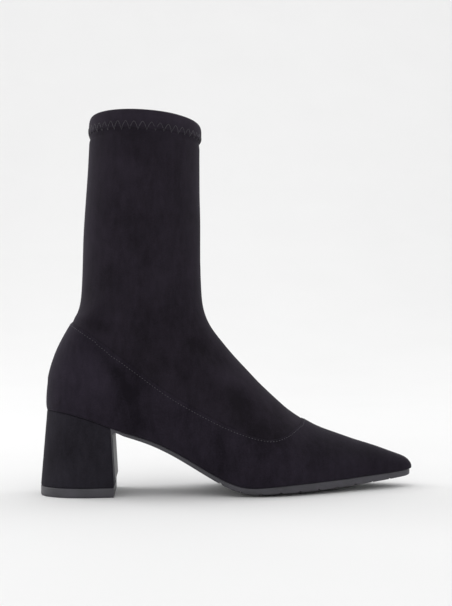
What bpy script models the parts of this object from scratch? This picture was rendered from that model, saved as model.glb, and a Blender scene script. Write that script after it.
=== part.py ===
"""Right sock boot with a pointed toe and a covered block heel.

The boot points along +X, its inner side is +Y and its outer side -Y, and it stands on Z = 0.
All sizes are in millimetres and are turned to metres where the meshes are made.
"""

import math

import bmesh
import bpy
import numpy as np
from mathutils import Matrix, Vector

METRE = 0.001

# Driving dimensions of the sample size
BOOT_LENGTH = 260.3
BALL_WIDTH = 81.6
COLLAR_HEIGHT = 262.0
SOCK_WALL = 1.5
SHELL_WALL = 2.3
HEM_WALL = 2.5
INSOLE_THICKNESS = 3.0
INSOLE_FIRST_ROW = 2.6
FEATHER_LEDGE = 0.2
FLAP_THICKNESS = 1.1
FLAP_FOOT = 9.5
LIFT_THICKNESS = 6.4
SEAT_GAP = 0.3

# Tread grooves across the forepart of the sole
FIRST_GROOVE = -7.3
GROOVE_COUNT = 10
GROOVE_PITCH = 13.3
GROOVE_WIDTH = 1.9
GROOVE_DEPTH = 1.1

# The sections of the last, from the toe tip to the rim of the collar.
# Each lies in the plane through a point of the front line and one of the back line, and across it.
# The back line runs along the feather line under the foot, and up the heel from HEEL_ROW on.
# edge: half width at the feather line; bulge: greatest half width; level: how far up that lies;
# ridge: where the top lies towards the inner side; side and crown: fullness of the flank and the top;
# sole: thickness of the sole's edge; drop: how much lower the sole's middle is than its edge.
COLUMNS = (
    "front_x", "front_z", "back_x", "back_z", "edge_out", "edge_in", "bulge_out", "bulge_in",
    "level", "ridge", "side", "crown", "sole", "drop",
)
LAST = (
    (130.0, 14.0, 130.3, 12.9, 0.5, 0.5, 0.7, 0.7, 0.45, 0.0, 0.55, 0.55, 2.2, 0.1),
    (129.1, 16.6, 129.5, 12.8, 3.1, 3.1, 3.7, 3.7, 0.45, 0.0, 0.55, 0.55, 3.2, 0.2),
    (125.8, 19.6, 127.0, 12.6, 6.1, 6.1, 7.0, 7.0, 0.40, 0.0, 0.52, 0.55, 4.0, 0.4),
    (119.4, 22.5, 121.0, 12.1, 9.4, 9.6, 10.5, 10.7, 0.35, 0.2, 0.50, 0.55, 4.3, 0.6),
    (107.4, 27.0, 109.0, 11.2, 14.2, 15.1, 15.5, 16.4, 0.31, 0.6, 0.47, 0.54, 4.6, 0.9),
    (91.7, 32.3, 93.5, 10.3, 20.2, 22.0, 21.7, 23.4, 0.27, 1.2, 0.44, 0.53, 5.0, 1.3),
    (74.7, 38.3, 76.0, 9.3, 26.9, 29.6, 28.4, 31.0, 0.24, 2.0, 0.42, 0.52, 5.3, 1.8),
    (57.7, 46.0, 58.0, 8.5, 33.4, 36.3, 34.9, 37.7, 0.21, 2.8, 0.40, 0.50, 5.5, 2.3),
    (42.8, 55.9, 41.0, 7.8, 38.6, 40.3, 40.1, 41.7, 0.19, 3.3, 0.40, 0.49, 5.2, 2.6),
    (30.0, 67.6, 24.0, 6.8, 40.6, 41.0, 42.0, 42.4, 0.17, 3.4, 0.42, 0.48, 4.7, 2.6),
    (17.9, 79.8, 6.0, 7.3, 38.6, 36.7, 40.1, 38.8, 0.17, 3.0, 0.45, 0.48, 3.9, 1.8),
    (6.6, 92.5, -14.0, 16.2, 33.6, 28.4, 36.5, 33.4, 0.20, 2.2, 0.49, 0.52, 3.6, 0.8),
    (-3.8, 104.7, -34.0, 28.1, 29.6, 23.6, 33.5, 30.6, 0.24, 1.4, 0.52, 0.58, 3.4, 0.4),
    (-11.4, 115.5, -55.0, 38.2, 27.3, 22.8, 31.6, 29.7, 0.27, 0.8, 0.54, 0.64, 2.9, 0.3),
    (-15.4, 124.7, -76.0, 45.0, 27.0, 24.6, 30.7, 29.8, 0.29, 0.4, 0.55, 0.69, 2.4, 0.3),
    (-16.9, 132.4, -95.0, 52.3, 27.2, 26.6, 30.5, 30.2, 0.30, 0.2, 0.55, 0.72, 2.4, 0.3),
    (-17.3, 139.2, -110.0, 56.6, 23.4, 23.4, 30.5, 30.4, 0.31, 0.0, 0.55, 0.74, 2.4, 0.3),
    (-17.4, 145.2, -119.4, 58.3, 15.8, 15.8, 30.5, 30.5, 0.31, 0.0, 0.55, 0.75, 2.4, 0.3),
    (-17.5, 150.4, -123.7, 58.7, 7.9, 7.9, 30.6, 30.6, 0.32, 0.0, 0.55, 0.75, 2.4, 0.3),
    (-17.5, 155.2, -125.0, 58.8, 0.0, 0.0, 30.7, 30.7, 0.32, 0.0, 0.55, 0.75, 2.4, 0.3),
    (-17.6, 160.0, -125.3, 66.5, 0.0, 0.0, 30.8, 30.8, 0.33, 0.0, 0.55, 0.74, 0.0, 0.0),
    (-17.6, 165.3, -124.5, 77.5, 0.0, 0.0, 30.9, 30.9, 0.34, 0.0, 0.55, 0.72, 0.0, 0.0),
    (-17.6, 171.3, -121.8, 89.2, 0.0, 0.0, 31.0, 31.0, 0.36, 0.0, 0.55, 0.70, 0.0, 0.0),
    (-17.6, 178.0, -116.5, 102.3, 0.0, 0.0, 31.2, 31.2, 0.39, 0.0, 0.55, 0.67, 0.0, 0.0),
    (-17.6, 185.0, -108.9, 115.7, 0.0, 0.0, 31.5, 31.5, 0.42, 0.0, 0.55, 0.64, 0.0, 0.0),
    (-17.6, 192.2, -103.0, 128.2, 0.0, 0.0, 31.9, 31.9, 0.45, 0.0, 0.55, 0.61, 0.0, 0.0),
    (-17.6, 200.0, -100.8, 144.0, 0.0, 0.0, 32.5, 32.5, 0.47, 0.0, 0.55, 0.58, 0.0, 0.0),
    (-17.6, 209.0, -100.1, 163.0, 0.0, 0.0, 33.2, 33.2, 0.49, 0.0, 0.55, 0.56, 0.0, 0.0),
    (-17.6, 219.5, -99.0, 186.5, 0.0, 0.0, 34.1, 34.1, 0.50, 0.0, 0.55, 0.55, 0.0, 0.0),
    (-17.6, 231.5, -96.8, 216.0, 0.0, 0.0, 35.2, 35.2, 0.50, 0.0, 0.55, 0.55, 0.0, 0.0),
    (-17.2, 243.5, -94.6, 246.5, 0.0, 0.0, 36.2, 36.2, 0.50, 0.0, 0.55, 0.55, 0.0, 0.0),
    (-16.4, 257.8, -93.6, 263.2, 0.0, 0.0, 36.8, 36.8, 0.50, 0.0, 0.55, 0.55, 0.0, 0.0),
)
BALL_ROW = 9
HEEL_ROW = 19
HEM_ROW = 30
RIM_ROW = 31

# The rounded throat of the seam: half width, and how far it is set back, in rows of the last
THROAT_WIDTH = 0.2
THROAT_ROUND = 0.22

# How far the rim dips at its front and back, as a share of the hem's height
RIM_DIP = 0.17

# Side view of the seam between shell and sock, from the back of the heel to the throat
SEAM = (
    (-108.2, 117.9), (-102.0, 114.6), (-90.7, 107.0), (-77.3, 97.0), (-56.0, 80.5),
    (-38.5, 67.8), (-17.7, 55.4), (2.9, 44.6), (19.9, 38.4), (29.6, 37.7), (38.6, 40.4),
    (47.0, 44.7), (56.9, 47.2),
)

# Height of the step at the seam, in rings of the sock
SEAM_STEP = 0.06

# The folded hem: height as a share of it, and how far it stands out as a share of its extra wall
HEM_PROFILE = (
    (0.13, 0.0), (0.16, 0.6), (0.25, 0.95), (0.45, 1.0), (0.7, 0.9), (0.86, 0.55), (0.95, 0.0),
    (1.0, -0.6), (1.0, -1.0),
)

# Share of the seam's length that each share of the feather line's rows runs up to
SEAM_SHARE = ((0.0, 0.0), (0.26, 0.20), (0.53, 0.66), (0.78, 0.87), (1.0, 1.0))

# Side view of the covered heel
HEEL_BACK_FOOT = -130.0
HEEL_BREAST_TOP = -80.9
HEEL_BREAST_FOOT = -78.8
HEEL_FOOT_TAPER = 0.96
HEEL_OVERHANG = 0.4

COLUMNS_AROUND = 64
SHELL_RINGS = 10
SOCK_RINGS = 16
INSIDE_SOCK_RINGS = 14


def bends(values):
    """Second derivatives of the natural cubic spline through values at 0, 1, 2 and so on."""
    bend = np.zeros(len(values))
    inner = len(values) - 2
    matrix = 4 * np.eye(inner) + np.eye(inner, k=1) + np.eye(inner, k=-1)
    bend[1:-1] = np.linalg.solve(matrix, 6 * np.diff(values, 2))
    return bend


def curve_of(values):
    values = np.array(values, float)
    return values, bends(values)


def spline(curve, at):
    """Reads a curve, which is its values and their bends, at the given places."""
    values, bend = curve
    at = np.clip(at, 0, len(values) - 1)
    low = np.minimum(np.floor(at).astype(int), len(values) - 2)
    after = at - low
    before = 1 - after
    straight = before * values[low] + after * values[low + 1]
    bow = (before**3 - before) * bend[low] + (after**3 - after) * bend[low + 1]
    return straight + bow / 6


def graded(name, value):
    """A table value stretched from the sample last to the driving dimensions."""
    if name in ("front_x", "back_x"):
        return value * BOOT_LENGTH / 260.3
    if name in ("front_z", "back_z"):
        return value * COLLAR_HEIGHT / 262.0
    if name in ("edge_out", "edge_in", "bulge_out", "bulge_in", "ridge"):
        return value * BALL_WIDTH / 81.6
    return value


# The columns that turn a corner where the back line leaves the sole are splined on each side of it.
CORNERED = ("back_x", "back_z", "edge_out", "edge_in")
UNDER, BEHIND = {}, {}
for column_place, column_name in enumerate(COLUMNS):
    listed = [graded(column_name, row[column_place]) for row in LAST]
    cornered = column_name in CORNERED
    UNDER[column_name] = curve_of(listed[: HEEL_ROW + 1] if cornered else listed)
    BEHIND[column_name] = curve_of(listed[HEEL_ROW:]) if cornered else None


def column(name, row):
    """One column of the last between its rows."""
    under = spline(UNDER[name], row)
    if BEHIND[name] is None:
        return under
    return np.where(row <= HEEL_ROW, under, spline(BEHIND[name], row - HEEL_ROW))


def bezier(a, b, c, d, t):
    return a * (1 - t) ** 3 + 3 * b * t * (1 - t) ** 2 + 3 * c * t**2 * (1 - t) + d * t**3


def flank(row, up, outer):
    """Half width and height share of one flank, for up from 0 at the edge to 1 at the ridge."""
    hand = "out" if outer else "in"
    edge, bulge = column("edge_" + hand, row), column("bulge_" + hand, row)
    level, side, crown = (column(name, row) for name in ("level", "side", "crown"))
    ridge = column("ridge", row) * (-1 if outer else 1)
    open_below = np.clip((HEEL_ROW - row) / 4, 0, 1)
    low, high = np.clip(up * 2, 0, 1), np.clip(up * 2 - 1, 0, 1)
    wide_low = bezier(edge, edge + 0.62 * (bulge - edge), bulge, bulge, low)
    tall_low = bezier(0, 0.18 * level * open_below, 0.45 * level, level, low)
    wide_high = bezier(bulge, bulge, ridge + crown * (bulge - ridge), ridge, high)
    tall_high = bezier(level, level + side * (1 - level), 1, 1, high)
    lower = up < 0.5
    return np.where(lower, wide_low, wide_high), np.where(lower, tall_low, tall_high)


def last_points(row, across):
    """Points of the last. across runs from -1 at the outer edge over 0 on the ridge to 1."""
    row, across = np.broadcast_arrays(np.asarray(row, float), np.asarray(across, float))
    up = 1 - np.abs(across)
    out_wide, out_tall = flank(row, up, True)
    in_wide, in_tall = flank(row, up, False)
    outer = across < 0
    wide = np.where(outer, -out_wide, in_wide)
    tall = np.where(outer, out_tall, in_tall)
    front = np.stack([column("front_x", row), column("front_z", row)], -1)
    back = np.stack([column("back_x", row), column("back_z", row)], -1)
    spot = back + tall[..., None] * (front - back)
    return np.stack([spot[..., 0], wide, spot[..., 1]], -1)


def last_normals(row, across):
    """Outward unit normals of the last, from small steps along and across it."""
    step = 0.02
    low, high = np.clip(row - step, 0, RIM_ROW), np.clip(row + step, 0, RIM_ROW)
    left, right = np.clip(across - step, -1, 1), np.clip(across + step, -1, 1)
    along = last_points(high, across) - last_points(low, across)
    over = last_points(row, right) - last_points(row, left)
    normal = np.cross(over, along)
    # The two flanks meet on the back line of a closed section, so the normal has no share across.
    meeting = (np.abs(across) > 0.999) & (row >= HEEL_ROW)
    normal[..., 1] = np.where(meeting, 0, normal[..., 1])
    return normal / np.linalg.norm(normal, axis=-1, keepdims=True)


# The flanks laid flat: how far along the boot each row lies, and how long its flank is
ROW_STEPS = np.linspace(0, RIM_ROW, 311)
ROW_FRONT = np.stack([column("front_x", ROW_STEPS), column("front_z", ROW_STEPS)], -1)
ROW_BACK = np.stack([column("back_x", ROW_STEPS), column("back_z", ROW_STEPS)], -1)
ROW_MIDDLE = (ROW_FRONT + ROW_BACK) / 2
ROW_REACH = np.r_[0, np.cumsum(np.linalg.norm(np.diff(ROW_MIDDLE, axis=0), axis=1))]
ROW_GIRTH = np.linalg.norm(ROW_FRONT - ROW_BACK, axis=1) + column("bulge_out", ROW_STEPS)


def between(first, last, share):
    """The loop a share of the way from one loop to another, on the flanks laid flat."""
    spots = []
    for rows, across in (first, last):
        reach = np.interp(rows, ROW_STEPS, ROW_REACH)
        spots.append((reach, across * np.interp(rows, ROW_STEPS, ROW_GIRTH)))
    reach, off = (a + (b - a) * share for a, b in zip(*spots))
    rows = np.interp(reach, ROW_REACH, ROW_STEPS)
    across = off / np.interp(rows, ROW_STEPS, ROW_GIRTH)
    # Towards the heel the columns are drawn in or let out so that the first one lies on the back line.
    far = (np.abs(across) / abs(across[0])) ** 2 * np.clip((rows - BALL_ROW) / (HEEL_ROW - BALL_ROW), 0, 1)
    across = np.clip(across * (1 + (1 / abs(across[0]) - 1) * far), -1, 1)
    across[0] = -1
    if share > 0:
        across[COLUMNS_AROUND // 2] = 0
    return rows, across


def locate(x, z):
    """Row and share of height of the section that passes through a point of the side view."""
    low, high = 1.0, float(HEM_ROW)
    for _ in range(24):
        row = (low + high) / 2
        front = np.array([column("front_x", row), column("front_z", row)])
        back = np.array([column("back_x", row), column("back_z", row)])
        span = front - back
        ahead = span[1] * (x - back[0]) - span[0] * (z - back[1])
        low, high = (low, row) if ahead > 0 else (row, high)
    return row, float(np.dot([x - back[0], z - back[1]], span) / np.dot(span, span))


def across_at(row, tall, outer):
    """How far across a section its flank stands at a share of its height."""
    ups = np.linspace(0, 1, 201)
    heights = flank(np.full(201, row), ups, outer)[1]
    up = float(np.interp(tall, np.maximum.accumulate(heights), ups))
    return up - 1 if outer else 1 - up


def shares():
    """Share of the way from the heel to the toe, and the side, of each column round the boot."""
    turn = np.arange(COLUMNS_AROUND)
    half = COLUMNS_AROUND // 2
    return 1 - np.abs(turn / half - 1), np.where(turn <= half, -1.0, 1.0)


def feather_loop():
    share, side = shares()
    return HEEL_ROW * (1 - share), side


def seam_loop():
    """Row and place across of the seam between shell and sock at each column."""
    share, side = shares()
    keys = np.array(SEAM_SHARE)
    knots = np.interp(share, keys[:, 0], np.arange(len(keys)))
    along = (np.interp(share, keys[:, 0], keys[:, 1]) + spline(curve_of(keys[:, 1]), knots)) / 2
    view = np.array(SEAM)
    lengths = np.r_[0, np.cumsum(np.linalg.norm(np.diff(view, axis=0), axis=1))]
    knots = np.interp(along * lengths[-1], lengths, np.arange(len(view)))
    seam_x, seam_z = spline(curve_of(view[:, 0]), knots), spline(curve_of(view[:, 1]), knots)
    rows, across = np.zeros(COLUMNS_AROUND), np.zeros(COLUMNS_AROUND)
    for n, hand in enumerate(side):
        rows[n], tall = locate(seam_x[n], seam_z[n])
        across[n] = across_at(rows[n], min(tall, 1.0), hand < 0)
    across[0], across[COLUMNS_AROUND // 2] = -1, 0
    return rows + THROAT_ROUND * np.clip(1 - np.abs(across) / THROAT_WIDTH, 0, 1) ** 2, across


def shaft_loop(row):
    """A whole section of the shaft, with its columns spread evenly."""
    share, side = shares()
    return np.full(COLUMNS_AROUND, float(row)), side * (1 - share)


def rim_loop():
    """The rim, which stands a little higher at the sides than at the front and back."""
    rows, across = shaft_loop(RIM_ROW)
    return rows - RIM_DIP * (1 - 2 * np.abs(across)) ** 2, across


def ring(loop, outward):
    """Points of a loop, set outwards from the last."""
    return last_points(*loop) + outward * last_normals(*loop)


def edge_outline(rows, outset):
    """Outer and inner edge of the last's underside in plan, each set outwards level with itself."""
    edges = []
    for hand in (-1, 1):
        points = last_points(rows, hand * np.ones_like(rows))
        tangent = np.gradient(points[:, :2], axis=0)
        normal = np.stack([tangent[:, 1], -tangent[:, 0]], -1)
        normal *= np.where(normal[:, 1] * hand < 0, -1, 1)[:, None]
        normal /= np.linalg.norm(normal, axis=1, keepdims=True)
        tip = np.abs(points[:, 1]) < 0.01
        normal[tip] = np.sign(points[tip, :1]) * (1, 0)
        points[:, :2] += outset * normal
        edges.append(points)
    return edges


def mesh_of(name, rings, walls, strips=(), ends=()):
    """Quads between the listed pairs of rings, strips across some rings and one face over others."""
    bm = bmesh.new()
    made = [[bm.verts.new(Vector(p) * METRE) for p in points] for points in rings]
    for low, high in walls:
        for n, corner in enumerate(made[low]):
            after = (n + 1) % len(made[low])
            bm.faces.new((corner, made[low][after], made[high][after], made[high][n]))
    for verts in (made[number] for number in strips):
        for n in range(len(verts) // 2 - 1):
            bm.faces.new((verts[n], verts[n + 1], verts[-n - 2], verts[-n - 1]))
    for number in ends:
        bm.faces.new(made[number])
    bmesh.ops.remove_doubles(bm, verts=bm.verts, dist=1e-7)
    bmesh.ops.dissolve_degenerate(bm, edges=bm.edges, dist=1e-7)
    bmesh.ops.recalc_face_normals(bm, faces=bm.faces)
    mesh = bpy.data.meshes.new(name)
    bm.to_mesh(mesh)
    bm.free()
    return mesh


def place(name, mesh, finish):
    """The node of a mesh, shaded smooth but for its edges."""
    node = bpy.data.objects.new(name, mesh)
    bpy.context.scene.collection.objects.link(node)
    mesh.materials.append(finish)
    mesh.shade_smooth()
    mesh.set_sharp_from_angle(angle=math.radians(35))
    return node


def stack(name, levels, finish):
    """A piece made of levels, each the outer and inner edge of a plate, from the bottom up."""
    rings = [np.vstack([outer, inner[::-1]]) for outer, inner in levels]
    walls = [(n, n + 1) for n in range(len(rings) - 1)]
    return place(name, mesh_of(name, rings, walls, strips=(0, len(rings) - 1)), finish)


def material(name, colour, roughness):
    finish = bpy.data.materials.new(name)
    finish.use_nodes = True
    shader = finish.node_tree.nodes["Principled BSDF"]
    shader.inputs["Base Color"].default_value = (*colour, 1)
    shader.inputs["Roughness"].default_value = roughness
    shader.inputs["Metallic"].default_value = 0
    return finish


def make_upper(finish):
    """One hollow wall: the shell, the sock above the seam and the folded hem, and their inside."""
    feather, seam = feather_loop(), seam_loop()
    hem, rim = shaft_loop(HEM_ROW), rim_loop()
    shell = SHELL_WALL - SOCK_WALL
    rings = [last_points(*feather)]
    for n in range(1, SHELL_RINGS + 1):
        share = (n / SHELL_RINGS) ** 1.3
        rings.append(ring(between(feather, seam, share), shell * min(1, n / 2)))
    for n in range(SOCK_RINGS + 1):
        share = (n + SEAM_STEP) / (SOCK_RINGS + SEAM_STEP)
        rings.append(ring(between(seam, hem, share), 0))
    for share, swell in HEM_PROFILE:
        rings.append(ring(between(hem, rim, share), (HEM_WALL - SOCK_WALL) * swell))
    rings.append(ring(between(hem, rim, 0.94), -SOCK_WALL))
    for n in range(INSIDE_SOCK_RINGS + 1):
        rings.append(ring(between(seam, hem, 1 - n / INSIDE_SOCK_RINGS), -SOCK_WALL))
    for share in (0.78, 0.56, 0.36, 0.2, 0.09):
        rings.append(ring(between(feather, seam, share), -SOCK_WALL))
    rows = np.linspace(HEEL_ROW, 0, COLUMNS_AROUND // 2 + 1)
    outer, inner = edge_outline(rows, -SOCK_WALL - FEATHER_LEDGE)
    rings.append(np.vstack([outer, inner[-2:0:-1]]))
    walls = [(n, (n + 1) % len(rings)) for n in range(len(rings))]
    return place("upper", mesh_of("upper", rings, walls), finish)


def make_insole(finish):
    """The board that closes the foot inside the upper's lower rim."""
    rows = np.linspace(INSOLE_FIRST_ROW, HEEL_ROW, 28)
    inset = SOCK_WALL + FEATHER_LEDGE + SEAT_GAP
    levels = []
    for lift, more in ((0.0, 0.4), (0.4, 0.0), (INSOLE_THICKNESS - 0.5, 0.0), (INSOLE_THICKNESS, 0.6)):
        levels.append([edge + (0, 0, lift) for edge in edge_outline(rows, -inset - more)])
    return stack("insole", levels, finish)


def row_at(x):
    """The row whose feather line lies at x."""
    under = ROW_STEPS <= HEEL_ROW
    return float(np.interp(-x, -ROW_BACK[under, 0], ROW_STEPS[under]))


# Places across the sole's lower side, from its outer corner to its inner one, and its corners' height
TREAD = np.array([-1, -0.985, -0.88, -0.7, -0.45, 0, 0.45, 0.7, 0.88, 0.985, 1])
CORNER = 0.9
FLAP_CORNER = 0.3
GROOVE_SLOPE = 0.35

# The bend from the waist into the flap: how far its upper side lies before the breast and below the
# heel's seat, and how far its lower side lies before and below them
BREAST_BEND = ((2.6, 1.0, 3.2, 3.2), (0.3, 0.1, 2.2, 3.6), (0.3, 2.4, 1.7, 4.4))
FLAP_SHARES = (0.85, 0.6, 0.3)


def sole_section(x, carve):
    """A section of the outsole: its flat upper side and a lower side, crowned and cut by carve."""
    row = row_at(x)
    outer, inner = (last_points(row, hand) + (0, 0.3 * hand, -SEAT_GAP) for hand in (-1.0, 1.0))
    setback = np.array([1.2 * np.clip(1 - row / 3, 0, 1), 0, 0])
    lower = (outer + inner) / 2 + TREAD[:, None] * (inner - outer) / 2
    crown = column("drop", row) * (1 - np.abs(TREAD) ** 2.2)
    lower[:, 2] = np.maximum(outer[2] - column("sole", row) - crown, 0)
    ends = np.abs(TREAD) == 1
    lower[:, 2] += np.where(ends, CORNER, carve)
    return np.vstack([inner, outer, lower]) - setback


def flap_section(back, lower_x, lower_z):
    """A section of the outsole at the breast: two points on the heel's side, and a lower side."""
    outer, inner = back
    lower = (outer + inner) / 2 + TREAD[:, None] * (inner - outer) / 2
    lower[:, 0] = lower_x - np.where(np.abs(TREAD) == 1, FLAP_CORNER, 0.0)
    lower[:, 2] = lower_z
    return np.vstack([inner, outer, lower])


def make_outsole(finish):
    """Forepart, waist and the flap down the breast of the heel, in one thin sheet of rubber."""
    grooves = FIRST_GROOVE + GROOVE_PITCH * np.arange(GROOVE_COUNT)
    rows = np.r_[0.08, 0.45, np.linspace(1, 13.8, 40)]
    cuts = [(x, 0.0) for x in column("back_x", rows) if np.min(np.abs(grooves - x)) > 2.0]
    for groove in grooves:
        half = GROOVE_WIDTH / 2
        for away, depth in ((half, 0.0), (half - GROOVE_SLOPE, GROOVE_DEPTH)):
            cuts += [(groove - away, depth), (groove + away, depth)]
    sections = [sole_section(x, carve) for x, carve in sorted(cuts, reverse=True)]
    seat = [edge[0] for edge in heel_level(1.0)]
    seat_height = seat[0][2]
    for ahead, below, lower_ahead, lower_below in BREAST_BEND:
        back = [edge + (ahead, 0, -below) for edge in seat]
        sections.append(flap_section(back, HEEL_BREAST_TOP + lower_ahead, seat_height - lower_below))
    heel_foot = LIFT_THICKNESS + SEAT_GAP
    foot_share = (FLAP_FOOT - heel_foot) / (seat_height - heel_foot)
    for share in (*FLAP_SHARES, foot_share):
        back = [edge[0] + (SEAT_GAP, 0, 0) for edge in heel_level(share)]
        sections.append(flap_section(back, back[0][0] + FLAP_THICKNESS, back[0][2]))
    walls = [(n, n + 1) for n in range(len(sections) - 1)]
    mesh = mesh_of("outsole", sections, walls, ends=(0, len(sections) - 1))
    return place("outsole", mesh, finish)


def heel_level(share):
    """Outer and inner edge of the heel in plan, from share 0 at its foot to 1 at its seat."""
    rows = np.linspace(row_at(HEEL_BREAST_TOP), HEEL_ROW, 15)
    seat = edge_outline(rows, HEEL_OVERHANG)
    seat_back = seat[0][-1, 0]
    foot_z = LIFT_THICKNESS + SEAT_GAP
    level = []
    for edge in seat:
        along = (edge[:, 0] - seat_back) / (edge[0, 0] - seat_back)
        foot_x = HEEL_BACK_FOOT + along * (HEEL_BREAST_FOOT - HEEL_BACK_FOOT)
        seat_x = seat_back + along * (HEEL_BREAST_TOP - seat_back)
        taper = HEEL_FOOT_TAPER + (1 - HEEL_FOOT_TAPER) * share
        x = foot_x + (seat_x - foot_x) * share
        z = foot_z + (edge[:, 2] - SEAT_GAP - foot_z) * share
        level.append(np.stack([x, edge[:, 1] * taper, z], -1))
    return level


def make_heel(finish):
    return stack("heel", [heel_level(share) for share in (0.0, 0.25, 0.5, 0.75, 0.93, 1.0)], finish)


def make_lift(finish):
    """The rubber lift, whose underside is the flat spot of the heel."""
    middle = np.array([(HEEL_BACK_FOOT + HEEL_BREAST_FOOT) / 2, 0, 0])
    levels = []
    for z, grow in ((0.0, 0.985), (0.5, 1.0), (LIFT_THICKNESS - 0.3, 1.0), (LIFT_THICKNESS, 0.99)):
        spread = [middle + (edge - middle) * grow for edge in heel_level(0.0)]
        for edge in spread:
            edge[:, 2] = z
        levels.append(spread)
    return stack("top_lift", levels, finish)


def main():
    for old in list(bpy.data.objects):
        bpy.data.objects.remove(old)
    suede = material("suede_cloth", (0.012, 0.011, 0.014), 0.95)
    lining = material("lining", (0.02, 0.02, 0.022), 0.9)
    rubber = material("sole_rubber", (0.075, 0.073, 0.085), 0.6)
    nodes = [make_upper(suede), make_insole(lining), make_outsole(rubber)]
    nodes += [make_heel(suede), make_lift(rubber)]
    # The origin goes to the middle of the whole boot's footprint.
    corners = np.array([tuple(vertex.co) for node in nodes for vertex in node.data.vertices])
    middle = (corners.min(axis=0) + corners.max(axis=0)) / 2
    for node in nodes:
        node.data.transform(Matrix.Translation((-middle[0], -middle[1], 0)))


main()
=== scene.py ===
"""A right sock boot with a pointed toe and a covered block heel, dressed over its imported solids."""

import math

import bpy
import numpy as np
from mathutils import Matrix, Vector


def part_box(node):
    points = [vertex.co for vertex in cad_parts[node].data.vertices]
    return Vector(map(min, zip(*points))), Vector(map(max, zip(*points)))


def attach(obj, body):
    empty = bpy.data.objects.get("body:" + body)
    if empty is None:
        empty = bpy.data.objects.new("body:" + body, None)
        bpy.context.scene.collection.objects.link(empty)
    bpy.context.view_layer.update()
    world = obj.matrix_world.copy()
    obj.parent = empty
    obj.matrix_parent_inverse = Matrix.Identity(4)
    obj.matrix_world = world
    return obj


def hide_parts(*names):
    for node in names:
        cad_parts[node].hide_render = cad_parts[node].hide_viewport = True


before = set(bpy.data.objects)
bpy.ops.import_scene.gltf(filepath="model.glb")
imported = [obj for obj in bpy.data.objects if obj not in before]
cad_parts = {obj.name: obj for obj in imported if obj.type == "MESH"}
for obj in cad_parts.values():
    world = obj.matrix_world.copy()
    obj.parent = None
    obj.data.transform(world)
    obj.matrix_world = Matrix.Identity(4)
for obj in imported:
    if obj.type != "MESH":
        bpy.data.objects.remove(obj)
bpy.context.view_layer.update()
bpy.ops.object.select_all(action="DESELECT")
MM = 0.001

# Sock
# The sock is a thin wall of stretch microfibre with a knitted backing. It runs down inside the
# shell to the sole, and its top edge is folded inwards, which makes the raised hem at the collar.

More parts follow.
